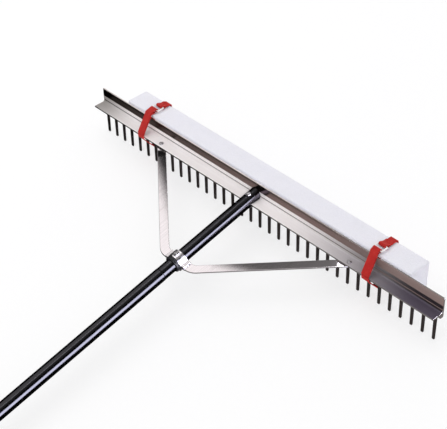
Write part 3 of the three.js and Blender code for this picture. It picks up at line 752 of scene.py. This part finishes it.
def build_rivet(label, side):
    """A pop rivet: a domed flange with the mandrel's hole in its middle, and a bulb below."""
    low, high = box_in(HEAD, f"brace_rivet_{label}")
    head = (high.x - low.x) / 2
    shank = 2.9 * MM
    seat = 0.15 * MM
    top = high.z
    under = low.z + 2 * MM
    hole = top - 1.5 * MM
    profile = [(0, hole), (1.1 * MM, hole), (1.3 * MM, top - 0.25 * MM), (1.9 * MM, top)]
    profile += [(head * 0.62, top - 0.3 * MM), (head * 0.86, top - 0.95 * MM)]
    profile += [(head, top - 1.7 * MM), (head, seat), (shank, seat), (shank, under)]
    profile += [(head * 0.94, under), (head * 0.98, under - 0.7 * MM)]
    profile += [(head * 0.8, under - 1.5 * MM), (head * 0.5, low.z), (0, low.z)]
    rivet = upright_lathe(f"rivet_{label}", rounded(profile, 0.25 * MM, 3))
    rivet.data.transform(Matrix.Translation((side * ARM_RAIL_END.x, ARM_RAIL_END.y, 0)))
    hand_over(rivet, "steel", f"brace_rivet_{label}", HEAD)


LOWER_RADIUS = 13.0 * MM
UPPER_RADIUS = 13.4 * MM
SLEEVE_WALL = 1.0 * MM
CLAMP_WALL = 2.4 * MM
CLAMP_LENGTH = 18 * MM
EAR_REACH = 25.5 * MM
EAR_FILLET = 9.0
CLAMP_SCREW_X = 21.4 * MM
CLAMP_SCREW_HEAD = 2.4 * MM
CLAMP_INNER = LOWER_RADIUS + SLEEVE_WALL + 2 * GAP
CLAMP_OUTER = CLAMP_INNER + CLAMP_WALL


def clamp_half(name):
    """A pressed half ring with an ear on each side, drawn above z = 0 round the handle's axis."""
    crown = math.degrees(math.asin(CLAMP_WALL / CLAMP_OUTER))
    rise = crown + EAR_FILLET
    neck = CLAMP_OUTER * math.cos(math.radians(rise))
    ear = (CLAMP_INNER, 0), (EAR_REACH, 0), (EAR_REACH, CLAMP_WALL), (neck + 5 * MM, CLAMP_WALL)
    root = [
        (neck + 4 * MM, CLAMP_WALL),
        (CLAMP_OUTER * math.cos(math.radians(crown)), CLAMP_WALL),
        arc((0, 0), CLAMP_OUTER, rise, rise, 1)[0],
    ]
    outline = rounded(ear, 0.5 * MM, 4) + rounded(root, 3 * MM, 5)[1:]
    outline += arc((0, 0), CLAMP_OUTER, rise, 90, 18)[1:]
    mirrored = [(-x, z) for x, z in outline[:-1]][::-1]
    inner = arc((0, 0), CLAMP_INNER, 180, 0, 40)[1:-1]
    ends = (-CLAMP_AT + CLAMP_LENGTH / 2, -CLAMP_AT - CLAMP_LENGTH / 2)
    half = loft(name, [[(x, y, z) for x, z in outline + mirrored + inner] for y in ends])
    weld(half)
    return bevelled(half, 0.45 * MM, 3, 40)


def build_clamp():
    saddle = clamp_half("clamp_upper_half")
    hand_over(saddle, "clamp", "clamp_saddle", HANDLE)
    base = clamp_half("clamp_lower_half")
    drop = ARM_THICKNESS + 3 * GAP
    flip = Matrix.Translation((0, -2 * CLAMP_AT, -drop)) @ Matrix.Rotation(math.pi, 4, "X")
    base.data.transform(flip)
    hand_over(base, "clamp", "clamp_base", HANDLE)


def build_sleeve():
    """The rubber bush in the clamp, with a grooved collar below it."""
    low, high = box_in(HANDLE, "clamp_sleeve")
    near = -high.y
    far = -low.y
    collar = high.x
    bore = LOWER_RADIUS + GAP
    bush = bore + SLEEVE_WALL
    step = CLAMP_AT + CLAMP_LENGTH / 2 + GAP
    corners = [(bore, near), (bush, near), (bush, step), (collar, step)]
    corners += [(collar, step + 2.4 * MM), (collar - 0.7 * MM, step + 3.1 * MM)]
    corners += [(collar, step + 3.9 * MM), (collar, far - 1.2 * MM)]
    corners += [(collar - 1.2 * MM, far), (bore, far)]
    sleeve = lathe("clamp_bush", rounded(corners, 0.3 * MM, 3, closed=True), 64)
    hand_over(sleeve, "rubber", "clamp_sleeve", HANDLE)


SLOT_TURN = math.radians(20)
SLOT_WIDTH = 0.16
SLOT_DEPTH = 0.55
SCREW_CROSS = 0.55
BOLT_CROSS = 0.5


def screw_with_cross(name, head_radius, head_top, head_under, shank_radius, shank_end, cross):
    """A pan-head screw standing along Z, with a cross recess that reaches out to a radius."""
    height = head_top - head_under
    profile = [(0, head_top), (head_radius * 0.55, head_top - 0.12 * height)]
    profile += [(head_radius * 0.9, head_top - 0.4 * height)]
    profile += [(head_radius, head_under + 0.42 * height), (head_radius, head_under)]
    profile += [(shank_radius, head_under), (shank_radius, shank_end + 0.6 * MM)]
    profile += [(shank_radius * 0.7, shank_end), (0, shank_end)]
    screw = upright_lathe(name, rounded(profile, 0.5 * MM, 4))
    half_width = cross * SLOT_WIDTH
    floor = head_top - SLOT_DEPTH * height
    for turn in (0, math.pi / 2):
        slot = block("slot", (-cross, -half_width, floor), (cross, half_width, head_top + MM))
        slot.data.transform(Matrix.Rotation(turn + SLOT_TURN, 4, "Z"))
        subtract(screw, slot)
    return screw


def build_clamp_screw(label, side):
    """A screw that holds an ear of the clamp from below, so it is built upright and turned over."""
    low, high = box_in(HANDLE, f"clamp_screw_{label}")
    head = (high.x - low.x) / 2
    seat = -low.z - CLAMP_SCREW_HEAD
    cross = head * SCREW_CROSS
    screw = screw_with_cross(f"ear_screw_{label}", head, -low.z, seat, 1.9 * MM, -high.z, cross)
    place = Matrix.Translation((side * CLAMP_SCREW_X, -CLAMP_AT, 0))
    screw.data.transform(place @ Matrix.Rotation(math.pi, 4, "X"))
    hand_over(screw, "steel", f"clamp_screw_{label}", HANDLE)


def build_bolt(node, name, seat, shank_radius, at):
    """A domed bolt through the handle's axis, on a seat, at a distance down the handle."""
    low, high = box_in(HANDLE, node)
    head = (high.x - low.x) / 2
    bolt = screw_with_cross(name, head, high.z, seat, shank_radius, low.z, head * BOLT_CROSS)
    bolt.data.transform(Matrix.Translation((0, -at, 0)))
    hand_over(bolt, "steel", node, HANDLE)


# ---- handle

TUBE_WALL = 1.6 * MM
TUBE_JOINT = 250 * MM
BOLT_AT = 17 * MM
CAP_END = 3 * MM
CAP_ROUND = 1.5 * MM
GRIP_PITCH = 4 * MM
GRIP_DEPTH = 0.6 * MM
GRIP_MARGIN = 14 * MM
NUT_BORE = 3 * MM
HANDLE_LENGTH = -box_in(HANDLE, "handle_cap")[0].y


def tube_profile(outer, inner, start, stop, radii=0.5 * MM):
    """A closed tube profile with rounded mouths."""
    corners = [(inner, stop), (outer, stop), (outer, start), (inner, start)]
    return rounded(corners, radii, 4, closed=True)


def build_lower_tube():
    reach = LOWER_RADIUS + 2 * MM
    profile = tube_profile(LOWER_RADIUS, LOWER_RADIUS - TUBE_WALL, -reach, TUBE_JOINT)
    tube = lathe("tube_lower", profile, 72)
    tube.data.transform(HANDLE)
    rail = along_head("rail_room", rail_outline(GAP), -2 * reach, 2 * reach)
    weld(rail)
    behind = block("behind_room", (-reach, -GAP, -4 * reach), (reach, 4 * reach, 4 * reach))
    rib = block("rib_room", (-reach, -RIB_FRONT - GAP, -4 * reach), (reach, 1 * MM, 0))
    for cutter in (rail, behind, rib):
        cutter.data.transform(HEAD)
    subtract(tube, rail, behind, rib)
    weld(tube)
    hand_over(tube, "enamel", "handle_lower")


def build_upper_tube():
    stop = HANDLE_LENGTH - CAP_END - GAP
    radii = [0.3 * MM, 0.3 * MM, 0.9 * MM, 0.3 * MM]
    profile = tube_profile(UPPER_RADIUS, LOWER_RADIUS - TUBE_WALL, TUBE_JOINT + GAP, stop, radii)
    tube = lathe("tube_upper", profile, 72)
    hand_over(tube, "enamel", "handle_upper", HANDLE)


def build_ferrule():
    """The inner sleeve that joins the two tubes; it can't be seen, and gets rounded mouths."""
    low, high = box_in(HANDLE, "handle_ferrule")
    outer = high.x
    profile = tube_profile(outer, outer - 1.5 * MM, -high.y, -low.y)
    ferrule = lathe("ferrule_sleeve", profile)
    hand_over(ferrule, "clamp", "handle_ferrule", HANDLE)


def build_cap():
    """A pushed-on rubber cap with grip rings and a dished end."""
    low, high = box_in(HANDLE, "handle_cap")
    outer = high.x
    groove = outer - GRIP_DEPTH
    inner = UPPER_RADIUS + 0.15 * MM
    mouth = -high.y
    end = -low.y
    dish = end - 0.8 * MM
    corners = [(0, dish), (outer - 5 * MM, dish), (outer - 3.5 * MM, end)]
    corners += [(outer - CAP_ROUND, end), (outer, end - CAP_ROUND)]
    for i in range(int((end - mouth - GRIP_MARGIN) / GRIP_PITCH)):
        at = end - 6 * MM - i * GRIP_PITCH
        corners += [(outer, at), (groove, at - GRIP_DEPTH)]
        corners += [(groove, at - 3 * GRIP_DEPTH), (outer, at - 4 * GRIP_DEPTH)]
    corners += [(outer, mouth + 1 * MM), (outer - 0.8 * MM, mouth), (inner, mouth)]
    corners += [(inner, end - CAP_END), (0, end - CAP_END)]
    cap = lathe("end_cap", rounded(corners, 0.35 * MM, 3), 64)
    hand_over(cap, "rubber", "handle_cap", HANDLE)


def build_handle_nut():
    low, high = box_in(HANDLE, "handle_nut")
    radius = max(high.x - low.x, high.y - low.y) / 2
    corners = arc((0, 0), radius, 30, 330, 5)
    nut = loft("handle_nut_hex", [[(x, y, z) for x, y in corners] for z in (low.z, high.z)])
    foot, top = low.z - MM, high.z + MM
    bore = upright_lathe("bore", [(0, foot), (NUT_BORE, foot), (NUT_BORE, top), (0, top)])
    subtract(nut, bore)
    bevelled(nut, 0.5 * MM, 3, 40)
    nut.data.transform(Matrix.Translation((0, -BOLT_AT, 0)))
    hand_over(nut, "steel", "handle_nut", HANDLE)


# ---- float

STRAP_X = 304.8 * MM
STRAP_WIDTH = 17 * MM
STRAP_THICKNESS = 1.8 * MM
FLOAT_EDGE = 3.5 * MM
FLOAT_CELL = 2.6 * MM
PRESS_DEPTH = 0.9 * MM
SKIN_DEPTH = 0.35 * MM


def grid_box(low, high, cell):
    """Points and faces of a closed box whose six sides are grids."""
    counts = [max(2, round((high[k] - low[k]) / cell)) for k in range(3)]
    lines = [np.linspace(low[k], high[k], counts[k] + 1) for k in range(3)]
    points = []
    faces = []
    for axis in range(3):
        u, v = (axis + 1) % 3, (axis + 2) % 3
        for end in (low[axis], high[axis]):
            start = len(points)
            for along_u in lines[u]:
                for along_v in lines[v]:
                    point = Vector((0, 0, 0))
                    point[axis], point[u], point[v] = end, along_u, along_v
                    points.append(point)
            row = counts[v] + 1
            for i in range(counts[u]):
                for j in range(counts[v]):
                    a = start + i * row + j
                    faces.append((a, a + 1, a + row + 1, a + row))
    return points, faces


def build_float():
    """A rounded block of foam with a slightly uneven skin, pressed in a little under each strap."""
    low, high = box_in(HEAD, "float_block")
    points, faces = grid_box(low, high, FLOAT_CELL)
    core_low = low + Vector((FLOAT_EDGE,) * 3)
    core_high = high - Vector((FLOAT_EDGE,) * 3)
    middle = (low + high) / 2
    shaped = []
    for p in points:
        core = Vector([min(max(p[k], core_low[k]), core_high[k]) for k in range(3)])
        outwards = (p - core).normalized()
        wave = smooth_noise(p * 18) * 0.45 + smooth_noise(p * 90) * 0.16
        near = min(abs(abs(p.x) - STRAP_X) / (STRAP_WIDTH * 0.75), 1.0)
        press = PRESS_DEPTH * (1 - near * near) ** 2
        facing = abs(outwards.y) if p.y > middle.y else 0.0
        press *= max(facing, abs(outwards.z))
        inset = press + SKIN_DEPTH * (1 + wave)
        shaped.append(core + outwards * (FLOAT_EDGE - inset))
    block_of_foam = mesh_from("foam_float", shaped, faces)
    weld(block_of_foam, 0.05 * MM)
    hand_over(block_of_foam, "foam", "float_block", HEAD, 60, "float")
    block_of_foam.visible_glossy = False


# ---- straps

RING_BAR = 1.5 * MM
RING_SQUARENESS = 0.7
STAND_OFF = GAP + STRAP_THICKNESS / 2
BAR_WRAP = RING_BAR + STAND_OFF
STEP_ALONG = 0.5 * MM
STRAP_SLACK = 0.4 * MM
LOOP_START = 4.4 * MM
SEWN_RAMP = 10 * MM
SEWN_END = 18 * MM
STITCH_ROWS = (11.2 * MM, 16.4 * MM)
STITCH_PITCH = 2.1 * MM
FOLD_START = -130
TAIL_SHORTENING = 0.06
STRAP_LEAN = 0.14
STRAP_LEAN_FROM = -11.8 * MM
SELVEDGE = 0.7 * MM
THREAD_RADIUS = 0.28 * MM
THREAD_LENGTH = 1.5 * MM
THREAD_RINGS = 5
THREAD_SIDES = 6


def lean_at(height):
    """How far a strap has leaned to the left at a height."""
    return STRAP_LEAN * max(height - STRAP_LEAN_FROM, 0.0)


def webbing_section():
    """(across, height) points round a strap's section: thin middle, beaded selvedges, soft edges."""
    half = STRAP_WIDTH / 2
    flat = STRAP_THICKNESS / 2
    upper = []
    for u in np.linspace(-half + SELVEDGE, half - SELVEDGE, 13):
        bead = 1.0 if abs(u) > half - 1.8 * MM else 0.84
        upper.append((u, flat * bead))
    turns = np.linspace(0.5, math.pi - 0.5, 5)
    edge = [(half - SELVEDGE * (1 - math.sin(turn)), flat * math.cos(turn)) for turn in turns]
    return upper + edge + [(u, -h) for u, h in upper[::-1]] + [(-u, -h) for u, h in edge]


def ribbon(name, path, x_centre):
    """Webbing of even width along a (y, z) path; ribs of weft show in its relief."""
    stations = resampled(path, STEP_ALONG)
    section = webbing_section()
    rings = []
    along = []
    across = []
    for i, point in enumerate(stations):
        before = stations[max(i - 1, 0)]
        after = stations[min(i + 1, len(stations) - 1)]
        direction = (after - before).normalized()
        normal = Vector((-direction.y, direction.x))
        distance = i * STEP_ALONG
        rib = 1 + 0.05 * math.sin(2 * math.pi * distance / WEFT_PITCH)
        sideways = x_centre - lean_at(point.y)
        sideways += 0.25 * MM * smooth_noise(Vector((distance * 60, x_centre * 9, 3)))
        rings.append([(sideways + u, *(point + normal * h * rib)) for u, h in section])
        along += [distance] * len(section)
        across += [u for u, h in section]
    strap = loft(name, rings)
    for label, values in (("along", along), ("across", across)):
        attribute = strap.data.attributes.new(label, "FLOAT", "POINT")
        attribute.data.foreach_set("value", values)
    return strap


def stitches(name, spots):
    """Short raised threads at the given spots, as one mesh of small rounded bars."""
    points = []
    faces = []
    for x, y, z in spots:
        faces += skin(THREAD_RINGS, THREAD_SIDES, len(points))
        for t in np.linspace(-1, 1, THREAD_RINGS):
            swell = THREAD_RADIUS * math.sqrt(max(0.12, 1 - t * t * 0.85))
            for k in range(THREAD_SIDES):
                angle = 2 * math.pi * k / THREAD_SIDES
                side, rise = swell * math.cos(angle), swell * math.sin(angle)
                points.append((x + t * THREAD_LENGTH / 2, y + side, z + rise))
    return mesh_from(name, points, faces)


def shifted(corners, distance):
    """A polyline moved to the right of its direction by a distance."""
    moved = []
    for i, corner in enumerate(corners):
        before = (corner - corners[i - 1]).normalized() if i else Vector((0, 0))
        after = (corners[i + 1] - corner).normalized() if i + 1 < len(corners) else Vector((0, 0))
        mean = (before + after).normalized()
        mitre = abs((after if after.length else before).dot(mean))
        moved.append(corner + Vector((mean.y, -mean.x)) * distance / mitre)
    return moved


def leaving_angle(centre, radius, target):
    """The angle, in degrees, at which a straight run to a target leaves a circle."""
    away = target - centre
    return math.degrees(math.atan2(away.y, away.x) - math.acos(radius / away.length)) % 360


def strap_frame(label):
    """The lines of one strap's route as (y, z), and the places of its ring's two bars."""
    float_low, float_high = box_in(HEAD, "float_block")
    ring_low, ring_high = box_in(HEAD, f"strap_ring_{label}")
    middle = (ring_low.z + ring_high.z) / 2
    front_bar = Vector((ring_low.y + RING_BAR, middle))
    rear_bar = Vector((ring_high.y - RING_BAR, middle))
    top = float_high.z + STAND_OFF
    front = -FLAT - STAND_OFF - STRAP_SLACK
    bottom = float_low.z - STAND_OFF
    behind = float_high.y + STAND_OFF
    over = (float_low.y, top), (FLANGE / 2, top), (-FLANGE / 2, UPRIGHT + STAND_OFF)
    front_run = [Vector(p) for p in (*over, (front, STAND_OFF))]
    under = (front, -FLANGE - STAND_OFF), (float_low.y - STAND_OFF / 2, bottom), (behind, bottom)
    back_run = (*under, (behind, top), (rear_bar.x, top))
    return front_run, back_run, front_bar, rear_bar


def build_strap(label, side):
    """One strap: the loop round float and rail, its ring, and the free end that closes over it."""
    front_run, back_run, front_bar, rear_bar = strap_frame(label)
    x_centre = side * STRAP_X
    sewn_z = front_run[0].y + STRAP_THICKNESS + 0.1 * MM
    build_loop(label, x_centre, front_run, back_run, front_bar, rear_bar, sewn_z)
    build_stitches(label, x_centre - lean_at(sewn_z), rear_bar.x, sewn_z + STRAP_THICKNESS / 2)
    build_tail(label, x_centre, front_run, front_bar)
    build_ring(label)


def build_loop(label, x_centre, front_run, back_run, front_bar, rear_bar, sewn_z):
    """The closed part: from the front bar round everything, over the rear bar and sewn down."""
    start = (front_bar.x - LOOP_START, front_run[0].y)
    path = rounded([start, *front_run[1:], *back_run], 2.2 * MM, 6)[:-1]
    path += [Vector(p) for p in arc(rear_bar, BAR_WRAP, -90, -270, 16)]
    halfway = (rear_bar.x + 0.5 * SEWN_RAMP, (rear_bar.y + BAR_WRAP + sewn_z) / 2)
    sewn = (rear_bar.x + SEWN_RAMP, sewn_z), (rear_bar.x + SEWN_END, sewn_z)
    ramp = rounded([path[-1], halfway, *sewn], 6 * MM, 6)
    loop = ribbon(f"webbing_loop_{label}", path + ramp[1:], x_centre)
    hand_over(loop, "webbing", f"strap_{label}", HEAD, 60)


def build_stitches(label, x_centre, y_bar, z):
    """Two rows of threads across the sewn end of the loop."""
    columns = [x_centre + k * STITCH_PITCH for k in range(-3, 4)]
    spots = [(x, y_bar + row, z) for row in STITCH_ROWS for x in columns]
    rows = stitches(f"stitch_rows_{label}", spots)
    hand_over(rows, "thread", None, HEAD, 60)


def build_tail(label, x_centre, front_run, front_bar):
    """The free end: folded round the front bar, then back over the loop's front run."""
    over = shifted(front_run, STRAP_THICKNESS + GAP + 0.1 * MM)
    tip = over[-1].lerp(over[-2], TAIL_SHORTENING)
    leaving = leaving_angle(front_bar, BAR_WRAP, over[1])
    fold = [Vector(p) for p in arc(front_bar, BAR_WRAP, FOLD_START, leaving, 20)]
    path = fold[:-1] + rounded([fold[-1], *over[1:-1], tip], 3 * MM, 6)
    tail = ribbon(f"webbing_tail_{label}", path, x_centre)
    hand_over(tail, "webbing", f"strap_tail_{label}", HEAD, 60, f"tail_{label}")


def build_ring(label):
    """A flat moulded ring with round corners and a soft-edged section."""
    low, high = box_in(HEAD, f"strap_ring_{label}")
    middle = (low + high) / 2
    half = (high - low) / 2
    route = round_rect(half.x - RING_BAR, half.y - RING_BAR, 1.2 * MM, 6)
    rings = []
    for i, point in enumerate(route):
        ahead = (route[(i + 1) % len(route)] - route[i - 1]).normalized()
        outwards = Vector((ahead.y, -ahead.x))
        ring = []
        for k in range(16):
            angle = 2 * math.pi * k / 16
            c, s = math.cos(angle), math.sin(angle)
            at = point + outwards * RING_BAR * math.copysign(abs(c) ** RING_SQUARENESS, c)
            height = half.z * math.copysign(abs(s) ** RING_SQUARENESS, s)
            ring.append(middle + Vector((*at, height)))
        rings.append(ring)
    ring = loft(f"moulded_ring_{label}", rings, closed=True)
    hand_over(ring, "plastic", f"strap_ring_{label}", HEAD, 60)


# ---- studio

ROOM_LIGHT = 0.9
KEY_POWER = 26
STRIP_POWER = 5
FLOOR_GLOW = 0.66
FLOOR_REACH = 12


def add_floor():
    """A softly lit white table, so that shadows stay faint."""
    look = Look("floor_light_table", (0.32, 0.32, 0.32), 0.9)
    look.set("Specular IOR Level", 0.1)
    look.set("Emission Color", (1, 1, 1, 1))
    look.set("Emission Strength", FLOOR_GLOW)
    fibres = look.noise(120, detail=4.0)
    look.tint(fibres, 0.3, 0.8, 0.5, (0.31, 0.31, 0.312))
    around = (-1, -1), (1, -1), (1, 1), (-1, 1)
    corners = [(x * FLOOR_REACH, y * FLOOR_REACH, 0) for x, y in around]
    floor = mesh_from("floor", corners, [(0, 1, 2, 3)])
    floor.data.materials.append(look.material)
    floor.visible_glossy = False


def add_world():
    """An even pale room for diffuse light; reflections see a dim studio with bright panels."""
    world = bpy.data.worlds.new("studio")
    bpy.context.scene.world = world
    graph = Graph(world)
    graph.tree.nodes.clear()
    output = graph.node("ShaderNodeOutputWorld")
    split = graph.node("ShaderNodeSeparateXYZ")
    graph.link(graph.node("ShaderNodeTexCoord").outputs["Generated"], split.inputs[0])
    # Every ramp's first two numbers are limits on one component of the direction looked in.
    x, y, z = split.outputs
    ramp = graph.remap

    def backdrop(strength, colour):
        made = graph.node("ShaderNodeBackground", Color=(*colour, 1))
        if isinstance(strength, float):
            made.inputs["Strength"].default_value = strength
        else:
            graph.link(strength, made.inputs["Strength"])
        return made.outputs[0]

    # Behind and to the left stands a bright panel; it fades out towards the middle of the room.
    panel = graph.combine(
        "MULTIPLY",
        ramp(x, -0.56, -0.50, 1.0, 0.06),
        ramp(x, -0.71, -0.66, 0.3, 1.0),
        ramp(y, 0.48, 0.54, 0.0, 1.0),
        ramp(z, 0.0, 0.1, 0.0, 1.0),
    )
    # A second one hangs overhead, on the left.
    overhead = graph.combine(
        "MULTIPLY",
        ramp(y, -0.2, -0.1, 0.0, 1.02),
        ramp(y, 0.343, 0.367, 1.0, 0.0),
        ramp(z, 0.45, 0.55, 0.0, 1.0),
        ramp(x, 0.05, 0.15, 1.0, 0.0),
    )
    # The rest of the room is dim, and dark far out on either side.
    room = ramp(graph.combine("ABSOLUTE", x), 0.40, 0.67, 0.22, 0.004)
    # A window on the right gives the handle's bright streak.
    window = graph.combine(
        "MULTIPLY",
        ramp(x, 0.58, 0.64, 0.0, 14.0),
        ramp(z, -0.2, -0.1, 0.0, 1.0),
        ramp(z, 0.4, 0.5, 1.0, 0.0),
    )

    reflected = graph.node("ShaderNodeAddShader")
    warm = backdrop(graph.combine("MAXIMUM", panel, overhead, room), (1.0, 0.955, 0.95))
    graph.link(warm, reflected.inputs[0])
    graph.link(backdrop(window, (0.84, 0.84, 1.0)), reflected.inputs[1])
    mix = graph.node("ShaderNodeMixShader")
    graph.link(graph.node("ShaderNodeLightPath").outputs["Is Glossy Ray"], mix.inputs[0])
    graph.link(backdrop(ROOM_LIGHT, (0.985, 0.985, 1.0)), mix.inputs[1])
    graph.link(reflected.outputs[0], mix.inputs[2])
    graph.link(mix.outputs[0], output.inputs["Surface"])


def area_light(name, place, size, power, colour):
    """A rectangular light aimed at a point over the rake, unseen by the camera."""
    data = bpy.data.lights.new(name, "AREA")
    data.shape = "RECTANGLE"
    data.size, data.size_y = size
    data.energy = power
    data.color = colour
    light = add_object(name, data)
    light.location = place
    towards = Vector((0, 0.4, 0.1)) - Vector(place)
    light.rotation_euler = towards.to_track_quat("-Z", "Y").to_euler()
    light.visible_camera = False
    return light


def add_lights():
    """A broad soft key that isn't mirrored, and a narrow strip that is seen only in reflections."""
    key = area_light("key", (-1.2, 0.6, 3.2), (2.8, 2.8), KEY_POWER, (1.0, 0.98, 0.97))
    key.visible_glossy = False
    strip = area_light("top_strip", (-0.67, 1.57, 2.58), (0.10, 3.0), STRIP_POWER, (0.95, 0.95, 1.0))
    strip.visible_diffuse = False


# ---- assembly

add_camera()
build_rail()
build_teeth()
build_clamp()
build_sleeve()
build_bolt("clamp_bolt", "crown_bolt_dome", CLAMP_OUTER + 0.05 * MM, 2.4 * MM, CLAMP_AT)
for name, way in SIDES:
    build_brace(name, way)
    build_rivet(name, way)
    build_clamp_screw(name, way)
    build_strap(name, way)
build_lower_tube()
build_upper_tube()
build_ferrule()
build_cap()
build_bolt("handle_bolt", "handle_bolt_dome", LOWER_RADIUS - 0.3 * MM, 2.9 * MM, BOLT_AT)
build_handle_nut()
build_float()
add_floor()
add_world()
add_lights()
bpy.context.scene.view_settings.view_transform = "Standard"

bpy.context.view_layer.update()
